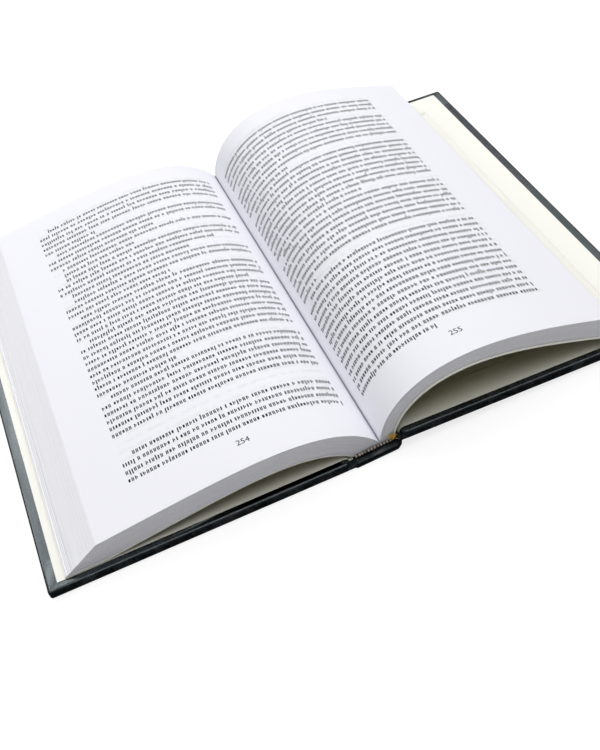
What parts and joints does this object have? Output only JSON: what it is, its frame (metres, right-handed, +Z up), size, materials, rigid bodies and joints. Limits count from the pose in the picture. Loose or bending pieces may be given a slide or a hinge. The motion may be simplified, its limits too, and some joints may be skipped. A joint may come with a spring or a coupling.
{
  "type": "open hardback book",
  "caption": "Case-bound hardback book lying open near its middle, with arched leaves, dark leatherette covers on spine joints, endpapers and spine bands.",
  "frame": {"origin": "centre of the covers' footprint, on the surface that the open book lies on, under the middle of the spine", "axes": "+X across the spread from the front cover to the back cover, +Y from the tail of the leaves to their head, +Z up"},
  "size_m": [0.269, 0.2068, 0.0352],
  "materials": {
    "paper": "matt, slightly cool white printing paper with fine leaf edges",
    "endpaper": "matt cream endpaper",
    "leatherette": "dark blue-green leatherette, fine grain, satin, paler at its worn rim",
    "greyboard": "matt grey board",
    "card": "matt brown card",
    "mull": "open starched cotton",
    "band": "woven band in gold and black threads"
  },
  "bodies": {
    "root": {"text_block": "paper", "front_flyleaf": "endpaper", "back_flyleaf": "endpaper", "head_band": "band", "tail_band": "band", "mull": "mull", "spine_lining": "card", "spine_inlay": "card", "spine_covering": "leatherette"},
    "front_cover": {"front_board": "greyboard", "front_covering": "leatherette", "front_pastedown": "endpaper", "front_mull_flange": "mull"},
    "back_cover": {"back_board": "greyboard", "back_covering": "leatherette", "back_pastedown": "endpaper", "back_mull_flange": "mull"}
  },
  "joints": [
    {"name": "front_joint", "type": "hinge", "parent": "root", "child": "front_cover", "pos_m": [-0.0121, 0, 0.0008], "axis": [0, -1, 0], "range_deg": [0, 90]},
    {"name": "back_joint", "type": "hinge", "parent": "root", "child": "back_cover", "pos_m": [0.0121, 0, 0.0055], "axis": [0, 1, 0], "range_deg": [0, 90]}
  ]
}
